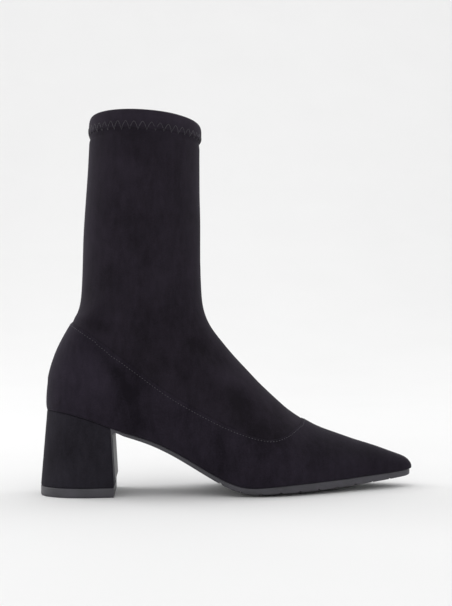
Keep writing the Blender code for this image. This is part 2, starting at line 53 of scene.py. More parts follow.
# The last that the sock is drawn over, and every piece below too. Its sections run from the toe
# tip to the rim, in millimetres, each in the plane through a point of the front line and one of
# the back line. An edge is half the width at the sole, and a bulge is half the greatest width,
# which lies at that level of the height. The ridge is how far the top lies to the inner side, and
# side and crown are how full the flank is above the bulge. The last two are the outsole's
# thickness and how far its middle hangs below its edges.
COLUMNS = (
    "front_x", "front_z", "back_x", "back_z", "edge_out", "edge_in", "bulge_out", "bulge_in",
    "level", "ridge", "side", "crown", "sole", "drop",
)
LAST = (
    (130.0, 14.0, 130.3, 12.9, 0.5, 0.5, 0.7, 0.7, 0.45, 0.0, 0.55, 0.55, 2.2, 0.1),
    (129.1, 16.6, 129.5, 12.8, 3.1, 3.1, 3.7, 3.7, 0.45, 0.0, 0.55, 0.55, 3.2, 0.2),
    (125.8, 19.6, 127.0, 12.6, 6.1, 6.1, 7.0, 7.0, 0.40, 0.0, 0.52, 0.55, 4.0, 0.4),
    (119.4, 22.5, 121.0, 12.1, 9.4, 9.6, 10.5, 10.7, 0.35, 0.2, 0.50, 0.55, 4.3, 0.6),
    (107.4, 27.0, 109.0, 11.2, 14.2, 15.1, 15.5, 16.4, 0.31, 0.6, 0.47, 0.54, 4.6, 0.9),
    (91.7, 32.3, 93.5, 10.3, 20.2, 22.0, 21.7, 23.4, 0.27, 1.2, 0.44, 0.53, 5.0, 1.3),
    (74.7, 38.3, 76.0, 9.3, 26.9, 29.6, 28.4, 31.0, 0.24, 2.0, 0.42, 0.52, 5.3, 1.8),
    (57.7, 46.0, 58.0, 8.5, 33.4, 36.3, 34.9, 37.7, 0.21, 2.8, 0.40, 0.50, 5.5, 2.3),
    (42.8, 55.9, 41.0, 7.8, 38.6, 40.3, 40.1, 41.7, 0.19, 3.3, 0.40, 0.49, 5.2, 2.6),
    (30.0, 67.6, 24.0, 6.8, 40.6, 41.0, 42.0, 42.4, 0.17, 3.4, 0.42, 0.48, 4.7, 2.6),
    (17.9, 79.8, 6.0, 7.3, 38.6, 36.7, 40.1, 38.8, 0.17, 3.0, 0.45, 0.48, 3.9, 1.8),
    (6.6, 92.5, -14.0, 16.2, 33.6, 28.4, 36.5, 33.4, 0.20, 2.2, 0.49, 0.52, 3.6, 0.8),
    (-3.8, 104.7, -34.0, 28.1, 29.6, 23.6, 33.5, 30.6, 0.24, 1.4, 0.52, 0.58, 3.4, 0.4),
    (-11.4, 115.5, -55.0, 38.2, 27.3, 22.8, 31.6, 29.7, 0.27, 0.8, 0.54, 0.64, 2.9, 0.3),
    (-15.4, 124.7, -76.0, 45.0, 27.0, 24.6, 30.7, 29.8, 0.29, 0.4, 0.55, 0.69, 2.4, 0.3),
    (-16.9, 132.4, -95.0, 52.3, 27.2, 26.6, 30.5, 30.2, 0.30, 0.2, 0.55, 0.72, 2.4, 0.3),
    (-17.3, 139.2, -110.0, 56.6, 23.4, 23.4, 30.5, 30.4, 0.31, 0.0, 0.55, 0.74, 2.4, 0.3),
    (-17.4, 145.2, -119.4, 58.3, 15.8, 15.8, 30.5, 30.5, 0.31, 0.0, 0.55, 0.75, 2.4, 0.3),
    (-17.5, 150.4, -123.7, 58.7, 7.9, 7.9, 30.6, 30.6, 0.32, 0.0, 0.55, 0.75, 2.4, 0.3),
    (-17.5, 155.2, -125.0, 58.8, 0.0, 0.0, 30.7, 30.7, 0.32, 0.0, 0.55, 0.75, 2.4, 0.3),
    (-17.6, 160.0, -125.3, 66.5, 0.0, 0.0, 30.8, 30.8, 0.33, 0.0, 0.55, 0.74, 0.0, 0.0),
    (-17.6, 165.3, -124.5, 77.5, 0.0, 0.0, 30.9, 30.9, 0.34, 0.0, 0.55, 0.72, 0.0, 0.0),
    (-17.6, 171.3, -121.8, 89.2, 0.0, 0.0, 31.0, 31.0, 0.36, 0.0, 0.55, 0.70, 0.0, 0.0),
    (-17.6, 178.0, -116.5, 102.3, 0.0, 0.0, 31.2, 31.2, 0.39, 0.0, 0.55, 0.67, 0.0, 0.0),
    (-17.6, 185.0, -108.9, 115.7, 0.0, 0.0, 31.5, 31.5, 0.42, 0.0, 0.55, 0.64, 0.0, 0.0),
    (-17.6, 192.2, -103.0, 128.2, 0.0, 0.0, 31.9, 31.9, 0.45, 0.0, 0.55, 0.61, 0.0, 0.0),
    (-17.6, 200.0, -100.8, 144.0, 0.0, 0.0, 32.5, 32.5, 0.47, 0.0, 0.55, 0.58, 0.0, 0.0),
    (-17.6, 209.0, -100.1, 163.0, 0.0, 0.0, 33.2, 33.2, 0.49, 0.0, 0.55, 0.56, 0.0, 0.0),
    (-17.6, 219.5, -99.0, 186.5, 0.0, 0.0, 34.1, 34.1, 0.50, 0.0, 0.55, 0.55, 0.0, 0.0),
    (-17.6, 231.5, -96.8, 216.0, 0.0, 0.0, 35.2, 35.2, 0.50, 0.0, 0.55, 0.55, 0.0, 0.0),
    (-17.2, 243.5, -94.6, 246.5, 0.0, 0.0, 36.2, 36.2, 0.50, 0.0, 0.55, 0.55, 0.0, 0.0),
    (-16.4, 257.8, -93.6, 263.2, 0.0, 0.0, 36.8, 36.8, 0.50, 0.0, 0.55, 0.55, 0.0, 0.0),
)
BALL_ROW, HEEL_ROW, HEM_ROW, RIM_ROW = 9, 19, 30, 31
CORNERED = ("back_x", "back_z", "edge_out", "edge_in")


def curve_of(values):
    """Values at 0, 1, 2 and so on with the second derivatives of the smooth curve through them."""
    values = np.array(values, float)
    bend = np.zeros(len(values))
    inner = len(values) - 2
    matrix = 4 * np.eye(inner) + np.eye(inner, k=1) + np.eye(inner, k=-1)
    bend[1:-1] = np.linalg.solve(matrix, 6 * np.diff(values, 2))
    return values, bend


def spline(curve, at):
    """The smooth curve's value at any place along it."""
    values, bend = curve
    at = np.clip(at, 0, len(values) - 1)
    low = np.minimum(np.floor(at).astype(int), len(values) - 2)
    after = at - low
    before = 1 - after
    straight = before * values[low] + after * values[low + 1]
    return straight + ((before**3 - before) * bend[low] + (after**3 - after) * bend[low + 1]) / 6


UNDER, BEHIND = {}, {}
for number, name in enumerate(COLUMNS):
    listed = [row[number] for row in LAST]
    UNDER[name] = curve_of(listed[: HEEL_ROW + 1] if name in CORNERED else listed)
    BEHIND[name] = curve_of(listed[HEEL_ROW:]) if name in CORNERED else None


def column(name, row):
    """A column of the last at any row. The cornered ones turn sharply at the back of the heel."""
    under = spline(UNDER[name], row)
    if BEHIND[name] is None:
        return under
    return np.where(row <= HEEL_ROW, under, spline(BEHIND[name], row - HEEL_ROW))


def bezier(a, b, c, d, t):
    """The curve from a to d that b and c draw, at t from 0 to 1."""
    return a * (1 - t) ** 3 + 3 * b * t * (1 - t) ** 2 + 3 * c * t**2 * (1 - t) + d * t**3


def flank(row, up, outer):
    """Half width and height share of one flank, for up from 0 at the edge to 1 at the ridge."""
    hand = "out" if outer else "in"
    edge, bulge = column("edge_" + hand, row), column("bulge_" + hand, row)
    level, side, crown = (column(name, row) for name in ("level", "side", "crown"))
    ridge = column("ridge", row) * (-1 if outer else 1)
    open_below = np.clip((HEEL_ROW - row) / 4, 0, 1)
    low, high = np.clip(up * 2, 0, 1), np.clip(up * 2 - 1, 0, 1)
    wide_low = bezier(edge, edge + 0.62 * (bulge - edge), bulge, bulge, low)
    tall_low = bezier(0, 0.18 * level * open_below, 0.45 * level, level, low)
    wide_high = bezier(bulge, bulge, ridge + crown * (bulge - ridge), ridge, high)
    tall_high = bezier(level, level + side * (1 - level), 1, 1, high)
    lower = up < 0.5
    return np.where(lower, wide_low, wide_high), np.where(lower, tall_low, tall_high)


def last_points(row, across):
    """Points of the last. across runs from -1 at the outer edge over 0 on the ridge to 1."""
    row, across = np.broadcast_arrays(np.asarray(row, float), np.asarray(across, float))
    up = 1 - np.abs(across)
    out_wide, out_tall = flank(row, up, True)
    in_wide, in_tall = flank(row, up, False)
    wide = np.where(across < 0, -out_wide, in_wide)
    tall = np.where(across < 0, out_tall, in_tall)
    front = np.stack([column("front_x", row), column("front_z", row)], -1)
    back = np.stack([column("back_x", row), column("back_z", row)], -1)
    spot = back + tall[..., None] * (front - back)
    return np.stack([spot[..., 0], wide, spot[..., 1]], -1)


def last_normals(row, across):
    """Outward normals of the last, level with the boot where its flanks meet on the back line."""
    row, across = np.broadcast_arrays(np.asarray(row, float), np.asarray(across, float))
    step = 0.02
    low, high = np.clip(row - step, 0, RIM_ROW), np.clip(row + step, 0, RIM_ROW)
    left, right = np.clip(across - step, -1, 1), np.clip(across + step, -1, 1)
    along = last_points(high, across) - last_points(low, across)
    over = last_points(row, right) - last_points(row, left)
    normal = np.cross(over, along)
    meeting = (np.abs(across) > 0.999) & (row >= HEEL_ROW)
    normal[..., 1] = np.where(meeting, 0, normal[..., 1])
    return normal / np.linalg.norm(normal, axis=-1, keepdims=True)


STEPS = np.linspace(0, RIM_ROW, 311)
FRONT_LINE = np.stack([column("front_x", STEPS), column("front_z", STEPS)], -1)
BACK_LINE = np.stack([column("back_x", STEPS), column("back_z", STEPS)], -1)
MIDDLE_LINE = (FRONT_LINE + BACK_LINE) / 2
REACH = np.r_[0, np.cumsum(np.linalg.norm(np.diff(MIDDLE_LINE, axis=0), axis=1))]
GIRTH = np.linalg.norm(FRONT_LINE - BACK_LINE, axis=1) + column("bulge_out", STEPS)

# Seam between shell and sock, in side view from the back of the heel to the throat. SEAM_SHARE says
# how far along it each share of the columns lies.
SEAM = (
    (-108.2, 117.9), (-102.0, 114.6), (-90.7, 107.0), (-77.3, 97.0), (-56.0, 80.5),
    (-38.5, 67.8), (-17.7, 55.4), (2.9, 44.6), (19.9, 38.4), (29.6, 37.7), (38.6, 40.4),
    (47.0, 44.7), (56.9, 47.2),
)
SEAM_SHARE = ((0.0, 0.0), (0.26, 0.20), (0.53, 0.66), (0.78, 0.87), (1.0, 1.0))
# The rim dips a little at the front and back, and the throat of the seam is rounded.
RIM_DIP = 0.17
THROAT_WIDTH, THROAT_ROUND, THROAT_COLUMNS = 0.2, 0.22, 8
AROUND = 256


def between(first, last, share):
    """The loop a share of the way from one loop to another, on the flanks laid flat."""
    spots = []
    for rows, across in (first, last):
        reach = np.interp(rows, STEPS, REACH)
        spots.append((reach, across * np.interp(rows, STEPS, GIRTH)))
    reach, off = (a + (b - a) * share for a, b in zip(*spots))
    rows = np.interp(reach, REACH, STEPS)
    across = off / np.interp(rows, STEPS, GIRTH)
    # Towards the heel the columns are drawn in or let out, so that the first one lies on the back
    # line.
    heelward = np.clip((rows - BALL_ROW) / (HEEL_ROW - BALL_ROW), 0, 1)
    far = (np.abs(across) / abs(across[0])) ** 2 * heelward
    across = np.clip(across * (1 + (1 / abs(across[0]) - 1) * far), -1, 1)
    across[0] = -1
    if share > 0:
        across[len(across) // 2] = 0
    return rows, across


def locate(x, z):
    """Row and share of height of the section that passes through a point of the side view."""
    low, high = 1.0, float(HEM_ROW)
    for _ in range(24):
        row = (low + high) / 2
        front = np.array([column("front_x", row), column("front_z", row)])
        back = np.array([column("back_x", row), column("back_z", row)])
        span = front - back
        ahead = span[1] * (x - back[0]) - span[0] * (z - back[1])
        low, high = (low, row) if ahead > 0 else (row, high)
    return row, float(np.dot([x - back[0], z - back[1]], span) / np.dot(span, span))


def across_at(row, tall, outer):
    """Place across the section where one flank has a share of the height."""
    ups = np.linspace(0, 1, 201)
    heights = flank(np.full(201, row), ups, outer)[1]
    up = float(np.interp(tall, np.maximum.accumulate(heights), ups))
    return up - 1 if outer else 1 - up


def shares():
    """Share of the way from heel to toe, and the side, of each column round the boot."""
    turn = np.arange(AROUND)
    return 1 - np.abs(turn / (AROUND // 2) - 1), np.where(turn <= AROUND // 2, -1.0, 1.0)


def seam_loop():
    """Rows and places across of the seam between shell and sock, with its rounded throat."""
    share, side = shares()
    keys = np.array(SEAM_SHARE)
    knots = np.interp(share, keys[:, 0], np.arange(len(keys)))
    along = (np.interp(share, keys[:, 0], keys[:, 1]) + spline(curve_of(keys[:, 1]), knots)) / 2
    view = np.array(SEAM)
    lengths = np.r_[0, np.cumsum(np.linalg.norm(np.diff(view, axis=0), axis=1))]
    knots = np.interp(along * lengths[-1], lengths, np.arange(len(view)))
    seam_x, seam_z = spline(curve_of(view[:, 0]), knots), spline(curve_of(view[:, 1]), knots)
    rows, across = np.zeros(AROUND), np.zeros(AROUND)
    for n, hand in enumerate(side):
        rows[n], tall = locate(seam_x[n], seam_z[n])
        across[n] = across_at(rows[n], min(tall, 1.0), hand < 0)
    across[0], across[AROUND // 2] = -1, 0
    for n in range(1, THROAT_COLUMNS):
        for hand in (-1, 1):
            edge = across[AROUND // 2 + hand * THROAT_COLUMNS]
            across[AROUND // 2 + hand * n] = edge * n / THROAT_COLUMNS
    return rows + THROAT_ROUND * np.clip(1 - np.abs(across) / THROAT_WIDTH, 0, 1) ** 2, across


share, side = shares()
feather = (HEEL_ROW * (1 - share), side)
seam = seam_loop()
hem = (np.full(AROUND, float(HEM_ROW)), side * (1 - share))
rim = (RIM_ROW - RIM_DIP * (2 * share - 1) ** 2, side * (1 - share))

SOCK_WALL, HEM_RAISE = 1.5, 1.0

# Outside of the hem: height as a share of it, and how far it stands out as a share of its raise
HEM_FOOT = 0.165
HEM_PROFILE = (
    # height, out
    (0.06, 0.0), (0.12, -0.05), (0.145, -0.06), (HEM_FOOT, 0.1), (0.175, 0.45), (0.19, 0.72),
    (0.215, 0.88), (0.26, 0.97), (0.33, 1.0), (0.40, 1.0), (0.50, 1.0), (0.60, 0.98), (0.69, 0.93),
    (0.76, 0.86), (0.82, 0.74), (0.87, 0.58), (0.91, 0.38), (0.945, 0.12), (0.97, -0.18),
    (0.988, -0.52), (0.998, -0.86), (0.998, -1.15),
)

# Soft folds of the cloth, listed in side view. push is in millimetres, negative for a trough.
FOLDS = (
    # from_x, from_z, to_x, to_z, width, push
    (-91.0, 103.0, -77.0, 84.0, 4.0, -0.8),
    (-77.0, 84.0, -68.0, 70.0, 4.6, -1.0),
    (-68.0, 70.0, -61.0, 50.0, 4.2, -0.9),
    (-98.0, 96.0, -85.0, 78.0, 6.0, 0.6),
    (-85.0, 78.0, -76.0, 60.0, 6.0, 0.5),
    (-93.0, 116.8, -84.0, 115.5, 4.5, -0.6),
    (-104.0, 121.0, -60.0, 119.5, 2.6, 0.45),
    (-22.0, 103.0, -6.0, 90.0, 6.0, -1.1),
    (-8.0, 86.0, 24.0, 62.0, 5.0, 0.55),
    (-8.0, 42.0, -4.0, 21.0, 4.0, -0.9),
    (-44.0, 96.0, -28.0, 78.0, 7.0, -0.6),
    (6.0, 66.0, 14.0, 44.0, 7.0, -0.7),
    (30.0, 30.0, 44.0, 18.0, 8.0, 0.4),
)
INNER_FOLDS, UNEVEN = 0.35, 0.14


def creases(x, y, z):
    """Troughs and ridges at each point, shallower on the inner side, where y is above 0."""
    out = np.zeros(x.shape)
    for from_x, from_z, to_x, to_z, width, push in FOLDS:
        run = np.array([to_x - from_x, to_z - from_z])
        share = np.clip(((x - from_x) * run[0] + (z - from_z) * run[1]) / (run @ run), 0, 1)
        away = np.hypot(x - from_x - share * run[0], z - from_z - share * run[1])
        out += push * np.exp(-((away / width) ** 2))
    return out * np.interp(y, (-6, 6), (1.0, INNER_FOLDS))


def fold(points, across):
    """How far the cloth stands out at each point: its creases over a gentle unevenness."""
    x, y, z = points[..., 0], points[..., 1], points[..., 2]
    # The creases fade out before the ridge, where the cloth is taut.
    out = creases(x, y, z) * np.clip(np.abs(across) * 4 - 0.2, 0, 1)
    wave = np.sin(x * 0.11 + 1.3 * np.sin(z * 0.05)) * np.sin(z * 0.083 + y * 0.06 + 0.7)
    wave += 0.6 * np.sin(x * 0.21 - z * 0.12 + y * 0.15 + 2.1)
    return out + UNEVEN * wave


# Painted light and shade: places in side view where the cloth is painted lighter, as if lit, or
# darker, as if shaded
PAINTED_SHADING_PATCHES = (
    # x, z, reach_x, reach_z, tone
    (-97.0, 80.0, 16.0, 20.0, 0.14),
    (-64.0, 69.0, 15.0, 22.0, -0.08),
    (-90.0, 116.0, 9.0, 5.0, -0.08),
    (-40.0, 108.0, 22.0, 14.0, -0.06),
    (-69.0, 212.0, 14.0, 16.0, 0.07),
    (-57.0, 256.0, 60.0, 7.0, 0.16),
    (-100.0, 190.0, 13.0, 55.0, 0.12),
    (-52.0, 165.0, 20.0, 34.0, 0.02),
    (6.0, 79.0, 16.0, 6.0, 0.08),
    (8.0, 58.0, 18.0, 16.0, -0.10),
    (30.0, 36.0, 20.0, 12.0, -0.10),
    (-2.0, 33.0, 7.0, 12.0, 0.04),
    (62.0, 30.0, 16.0, 9.0, -0.07),
    (98.0, 25.0, 22.0, 12.0, -0.06),
    (-23.0, 97.0, 10.0, 8.0, -0.06),
    (-13.0, 22.0, 10.0, 9.0, -0.06),
)
# Painted shade and light in the folds: the cloth is this much darker for each millimetre of trough,
# and lighter for each millimetre of ridge.
PAINTED_FOLD_SHADE = 0.07


def painted_light_and_shade(points):
    """Painted light and shade at each point, from the places listed above, and painted shade in a
    fold's trough with painted light on its ridge.
    """
    tone = PAINTED_FOLD_SHADE * creases(*points.T)
    for x, z, reach_x, reach_z, change in PAINTED_SHADING_PATCHES:
        away = ((points[:, 0] - x) / reach_x) ** 2 + ((points[:, 2] - z) / reach_z) ** 2
        tone += change * np.exp(-away)
    return tone


def ring(loop, outward):
    """A loop's points on the last, set outwards in millimetres and folded as the cloth is."""
    points = last_points(*loop)
    push = fold(points, loop[1])
    return points + (outward + push)[:, None] * last_normals(*loop)


def piece(name, rings, tube=False, strips=()):
    """A mesh of quads between rings of equal length, joined into a tube or closed by strips."""
    count = len(rings[0])
    verts = np.concatenate(rings) * MM
    faces = []
    for low in range(len(rings) if tube else len(rings) - 1):
        high = (low + 1) % len(rings)
        for n in range(count):
            after = (n + 1) % count
            under, over = low * count, high * count
            faces.append((under + n, under + after, over + after, over + n))
    for number in strips:
        first = number * count
        for n in range(count // 2 - 1):
            last = first + count - 1 - n
            faces.append((first + n, first + n + 1, last - 1, last))
    mesh = bpy.data.meshes.new(name)
    mesh.from_pydata(verts.tolist(), [], faces)
    made = bpy.data.objects.new(name, mesh)
    bpy.context.scene.collection.objects.link(made)
    bpy.context.view_layer.objects.active = made
    made.select_set(True)
    bpy.ops.object.mode_set(mode="EDIT")
    bpy.ops.mesh.select_all(action="SELECT")
    bpy.ops.mesh.remove_doubles(threshold=1e-6)
    bpy.ops.mesh.normals_make_consistent(inside=False)
    bpy.ops.object.mode_set(mode="OBJECT")
    bpy.ops.object.shade_smooth_by_angle(angle=math.radians(50))
    made.select_set(False)
    # The painted light and shade ride on the mesh as a tone, for the suede to read.
    points = np.array([vertex.co for vertex in mesh.vertices]) / MM
    nap_and_painted_shading = mesh.attributes.new("nap_and_painted_shading", "FLOAT", "POINT")
    nap_and_painted_shading.data.foreach_set("value", painted_light_and_shade(points))
    return made


# Up the outside: tucked in under the shell, up the leg to where the hem's seam draws it in, and
# round the hem. Then down the inside, where the folded edge lies under the lining.
TUCK, TUCK_FROM, TUCK_RINGS, LEG_RINGS = 0.15, 0.15, 15, 110
PINCH, PINCH_REACH = 0.55, 0.012
INNER_LEG_RINGS, INNER_FOOT_RINGS, INNER_FOOT_ENDS = 70, 20, (18, 3)
rings = []
for n in range(TUCK_RINGS):
    part = TUCK_FROM + (1 - TUCK_FROM) * n / (TUCK_RINGS - 1)
    rings.append(ring(between(feather, seam, part), -TUCK))
for n in range(1, LEG_RINGS + 1):
    part = n / LEG_RINGS
    pinch = -PINCH * math.exp(-((part - 1) / PINCH_REACH) ** 2)
    rings.append(ring(between(seam, hem, part), pinch))
for part, swell in HEM_PROFILE:
    rings.append(ring(between(hem, rim, part), swell * HEM_RAISE))
for part, folded_in in ((0.985, 0.0), (0.95, 0.15), (0.88, 0.15), (0.7, 0.15), (0.4, 0.15)):
    rings.append(ring(between(hem, rim, part), -SOCK_WALL - folded_in))
for n in range(INNER_LEG_RINGS, -1, -1):
    rings.append(ring(between(seam, hem, n / INNER_LEG_RINGS), -SOCK_WALL))
for n in range(INNER_FOOT_ENDS[0], INNER_FOOT_ENDS[1] - 1, -1):
    rings.append(ring(between(feather, seam, n / INNER_FOOT_RINGS), -SOCK_WALL))
sock = piece("sock", rings, tube=True)


def linear(code):
    """sRGB hex colour to the linear values that a shader reads."""
    parts = [int(code[n : n + 2], 16) / 255 for n in (1, 3, 5)]
    return [p / 12.92 if p <= 0.04045 else ((p + 0.055) / 1.055) ** 2.4 for p in parts] + [1.0]


def add(tree, kind, values=None, **settings):
    """A node with its settings. A value that is a node's output is linked, any other is set."""
    node = tree.nodes.new(kind)
    for key, value in settings.items():
        setattr(node, key, value)
    for key, value in (values or {}).items():
        if isinstance(value, bpy.types.NodeSocket):
            tree.links.new(value, node.inputs[key])
        else:
            node.inputs[key].default_value = value
    return node


# Sizes of the nap's clouds and of the marks of the brush, in millimetres
CLOUD, BRUSH_MARK = 1000.0 / 38.0, 1000.0 / 260.0


def suede(name, dark, light, grain, sheen, nap_bump):
    """Microfibre suede: a brushed nap, cloudy where it was touched, over a fine grain."""
    finish = bpy.data.materials.new(name)
    finish.use_nodes = True
    tree = finish.node_tree
    shader = tree.nodes["Principled BSDF"]
    place = add(tree, "ShaderNodeTexCoord").outputs["Object"]
    cloud = add(tree, "ShaderNodeTexNoise", {
        "Vector": place, "Scale": 1000.0 / CLOUD, "Detail": 4.0, "Roughness": 0.55})
    stretch = add(tree, "ShaderNodeMapping", {"Vector": place, "Scale": (1.0, 1.0, 0.35)})
    stroke = add(tree, "ShaderNodeTexNoise", {
        "Vector": stretch.outputs["Vector"], "Scale": 1000.0 / BRUSH_MARK, "Detail": 5.0,
        "Roughness": 0.6})
    nap_and_painted_shading = add(tree, "ShaderNodeTexNoise", {
        "Vector": place, "Scale": 1000.0 / grain, "Detail": 3.0, "Roughness": 0.7})
    cloudy = add(tree, "ShaderNodeMath", {0: cloud.outputs["Fac"], 1: 0.35}, operation="MULTIPLY")
    brushed = add(tree, "ShaderNodeMath", {0: stroke.outputs["Fac"], 1: 0.3, 2: cloudy.outputs[0]},
                  operation="MULTIPLY_ADD")
    grained = add(tree, "ShaderNodeMath", {0: nap_and_painted_shading.outputs["Fac"], 1: 0.25, 2: brushed.outputs[0]},
                  operation="MULTIPLY_ADD")
    # The piece's painted light and shade, its patches painted lighter or darker and the painted shade
    # of its folds, is added to the tone.
    painted_tone = add(tree, "ShaderNodeAttribute", attribute_name="nap_and_painted_shading")
    mixed = add(tree, "ShaderNodeMath", {0: grained.outputs[0], 1: painted_tone.outputs["Fac"]})
    ramp = add(tree, "ShaderNodeValToRGB", {"Fac": mixed.outputs[0]})
    for stop, position, code in zip(ramp.color_ramp.elements, (0.30, 0.68), (dark, light)):
        stop.position, stop.color = position, linear(code)
    tree.links.new(ramp.outputs["Color"], shader.inputs["Base Color"])
    rough = add(tree, "ShaderNodeMapRange", {
        "Value": stroke.outputs["Fac"], "To Min": 0.82, "To Max": 0.98})
    tree.links.new(rough.outputs["Result"], shader.inputs["Roughness"])
    bump = add(tree, "ShaderNodeBump", {
        "Height": mixed.outputs[0], "Strength": nap_bump, "Distance": 0.0006})
    tree.links.new(bump.outputs["Normal"], shader.inputs["Normal"])
    shader.inputs["Sheen Weight"].default_value = sheen
    shader.inputs["Sheen Roughness"].default_value = 0.45
    shader.inputs["Sheen Tint"].default_value = linear("#d8d4e0")
    shader.inputs["Specular IOR Level"].default_value = 0.05
    return finish


# Stretch microfibre suede: a short nap on a knit, so it is smoother and duller than the shell's.
# The nap's grain is drawn at 0.9 mm, because the real 0.2 mm is finer than the render shows.
sock_suede = suede("stretch_microfibre_suede", "#18151a", "#2d2831", 0.9, 0.07, 0.35)

# Knitted lining: the sock's matt inner face, with soft ribs that run round the leg. They are drawn
# 7.5 mm apart, because the courses of the real knit are finer than the render shows.
RIB = 7.54
lining = bpy.data.materials.new("knitted_lining")
lining.use_nodes = True
tree = lining.node_tree
shader = tree.nodes["Principled BSDF"]
place = add(tree, "ShaderNodeTexCoord").outputs["Object"]
course = add(tree, "ShaderNodeTexWave", {
    "Vector": place, "Scale": 1000.0 * math.tau / 20 / RIB, "Distortion": 1.5, "Detail": 2.0,
    "Detail Scale": 4.0}, bands_direction="Z")
fuzz = add(tree, "ShaderNodeTexNoise", {"Vector": place, "Scale": 900.0, "Detail": 3.0})
shade = add(tree, "ShaderNodeMath", {0: course.outputs["Fac"], 1: fuzz.outputs["Fac"]},
            operation="MULTIPLY")
tone = add(tree, "ShaderNodeValToRGB", {"Fac": shade.outputs[0]})
tone.color_ramp.elements[0].color = linear("#1a1a1d")
tone.color_ramp.elements[1].color = linear("#37373c")
tree.links.new(tone.outputs["Color"], shader.inputs["Base Color"])
raised = add(tree, "ShaderNodeBump", {
    "Height": shade.outputs[0], "Strength": 0.5, "Distance": 0.0004})
tree.links.new(raised.outputs["Normal"], shader.inputs["Normal"])
shader.inputs["Roughness"].default_value = 0.9

sock.data.materials.append(sock_suede)
sock.data.materials.append(lining)
outer_rings = TUCK_RINGS + LEG_RINGS + len(HEM_PROFILE) + 1
for face in sock.data.polygons:
    if min(face.vertices) >= outer_rings * AROUND:
        face.material_index = 1
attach(sock, "root")

# Shell
# The shell is the stiffened lower part, cut like a court shoe from microfibre suede: vamp, quarters
# and counter in one line. It is lasted over the sock and ends in a turned edge at the seam.
SHELL_RAISE, SHELL_RINGS, FOOT_RINGS = 0.8, 70, 5
TURNED_FROM, TURNED_DOWN, EDGE_HALF, EDGE_END = 0.96, 0.3, 0.25, 0.996
rings = [ring(between(feather, seam, 0.0), 0.0)]
for n in range(1, SHELL_RINGS + 1):
    part = (n / SHELL_RINGS) ** 1.25
    turned = TURNED_DOWN * max(0.0, (part - TURNED_FROM) / (1 - TURNED_FROM)) ** 2
    raise_by = SHELL_RAISE * min(1.0, n / FOOT_RINGS) ** 0.5 - turned
    rings.append(ring(between(feather, seam, part * EDGE_END), raise_by))
for outward in (EDGE_HALF, -EDGE_HALF):
    rings.append(ring(between(feather, seam, 1.0), outward))
for n in range(24, 3, -1):
    rings.append(ring(between(feather, seam, n / 25), -EDGE_HALF))
shell = piece("shell", rings, tube=True)
# The stiffener's lower back corner is rounded off under the cloth.
CORNER_X, CORNER_Z, CORNER_REACH, CORNER_RINGS = -121, 61, 19, (3, 66)
bpy.context.view_layer.objects.active = shell
bpy.ops.object.mode_set(mode="EDIT")
bpy.ops.mesh.select_all(action="DESELECT")
bpy.ops.object.mode_set(mode="OBJECT")
for vertex in shell.data.vertices:
    x, y, z = vertex.co / MM
    outside = CORNER_RINGS[0] * AROUND <= vertex.index < CORNER_RINGS[1] * AROUND
    vertex.select = outside and math.hypot(x - CORNER_X, z - CORNER_Z) < CORNER_REACH
bpy.ops.object.mode_set(mode="EDIT")
bpy.ops.mesh.vertices_smooth(factor=0.5, repeat=40)
bpy.ops.object.mode_set(mode="OBJECT")
# Microfibre suede on a firm backing: a deeper nap than the sock's, which catches more light.
shell_suede = suede("microfibre_suede", "#17141a", "#2e2933", 1.1, 0.08, 0.5)
shell.data.materials.append(shell_suede)
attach(shell, "root")
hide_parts("upper")

# Seam stitches
# One row of lockstitch in smoke grey thread holds the shell to the sock, 2 mm to a stitch,
# a little below the turned edge. Each stitch is a short spindle, half sunk in the nap.
STITCH_PITCH, STITCH_LENGTH, THREAD = 2.1, 1.05, 0.18
STITCH_LINE, STITCH_SUNK, STITCH_SWAY = 0.98, 0.08, 0.05


def run_along(loop, outward, pitch):
    """Even places along a loop, with the way the thread runs there and the cloth's normal."""
    points = ring(loop, outward)
    normals = last_normals(*loop)
    closed, upright = (np.vstack([listed, listed[:1]]) for listed in (points, normals))
    lengths = np.r_[0, np.cumsum(np.linalg.norm(np.diff(closed, axis=0), axis=1))]
    count = int(lengths[-1] / pitch)
    at = np.arange(count) * lengths[-1] / count
    spots = np.stack([np.interp(at, lengths, closed[:, k]) for k in range(3)], -1)
    ups = np.stack([np.interp(at, lengths, upright[:, k]) for k in range(3)], -1)
    ahead = np.roll(spots, -1, axis=0) - np.roll(spots, 1, axis=0)
    return spots, ahead / np.linalg.norm(ahead, axis=1, keepdims=True), ups


bpy.ops.mesh.primitive_uv_sphere_add(segments=6, ring_count=5, radius=1.0, location=(0, 0, 0))
stitches = bpy.context.object
stitches.name = stitches.data.name = "seam_stitches"
spindle = np.array([v.co for v in stitches.data.vertices])
# Blender lists the ball's faces in another order each run, so they are sorted.
spindle_faces = sorted(list(p.vertices) for p in stitches.data.polygons)
sewn = between(feather, seam, STITCH_LINE)
spots, ahead, ups = run_along(sewn, SHELL_RAISE - STITCH_SUNK, STITCH_PITCH)
verts, faces = [], []
for n, (spot, way, up) in enumerate(zip(spots, ahead, ups)):
    spot = spot + up * STITCH_SWAY * (math.sin(n * 0.37) + math.sin(n * 1.7))
    beside = np.cross(up, way)
    shape = spindle[:, :1] * beside * THREAD * 1.2 + spindle[:, 1:2] * up * THREAD
    shape = shape + spindle[:, 2:] * way * STITCH_LENGTH / 2 + spot
    faces += [[len(verts) + corner for corner in face] for face in spindle_faces]
    verts += (shape * MM).tolist()
stitches.data.clear_geometry()
stitches.data.from_pydata(verts, [], faces)
stitches.data.shade_smooth()
bpy.ops.object.mode_set(mode="EDIT")
bpy.ops.mesh.select_all(action="SELECT")
bpy.ops.mesh.normals_make_consistent(inside=False)
bpy.ops.object.mode_set(mode="OBJECT")
stitches.select_set(False)

